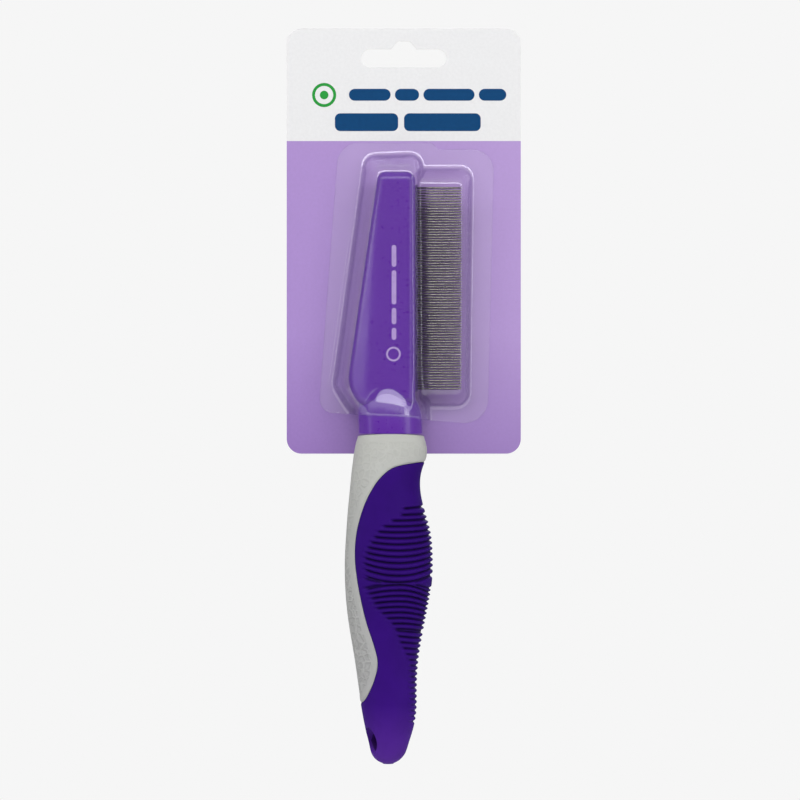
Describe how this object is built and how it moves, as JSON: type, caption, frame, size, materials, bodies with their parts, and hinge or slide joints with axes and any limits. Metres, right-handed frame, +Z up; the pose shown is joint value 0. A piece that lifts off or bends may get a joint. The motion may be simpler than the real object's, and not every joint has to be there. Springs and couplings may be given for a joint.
{
  "type": "flea comb",
  "caption": "Flea comb with a tapered plastic spine, fine round steel tines and an ergonomic two-tone grip, carded under a clear blister.",
  "frame": {"origin": "centre of the hang slot, on the hang card's front face", "axes": "+X to the tine side, +Y from the front to the card's back, +Z up along the comb towards the hang slot"},
  "size_m": [0.087, 0.0232, 0.272],
  "materials": {
    "card": "white header over lavender, satin print",
    "film": "clear thermoformed film",
    "head_plastic": "purple moulded plastic, glossy",
    "bar_plastic": "purple moulded plastic",
    "steel": "drawn stainless wire",
    "core_plastic": "unfinished, hidden",
    "soft_grip": "soft, ribbed, dark purple",
    "pale_grip": "soft, pale grey, embossed net"
  },
  "bodies": {
    "card": {"backing_card": "card"},
    "comb": {"comb_head": "head_plastic", "tine_bar": "bar_plastic", "tines": "steel", "handle_core": "core_plastic", "grip_pad": "soft_grip", "grip_shell": "pale_grip"},
    "film": {"blister": "film"}
  },
  "joints": [
    {"name": "comb_lift", "type": "slide", "parent": "card", "child": "comb", "axis": [0, -1, 0], "range_m": [0, 0.05]},
    {"name": "blister_lift", "type": "slide", "parent": "card", "child": "film", "axis": [0, -1, 0], "range_m": [0, 0.1]}
  ],
  "couplings": [
    {"joint": "blister_lift", "follows": "comb_lift", "ratio": 2}
  ]
}
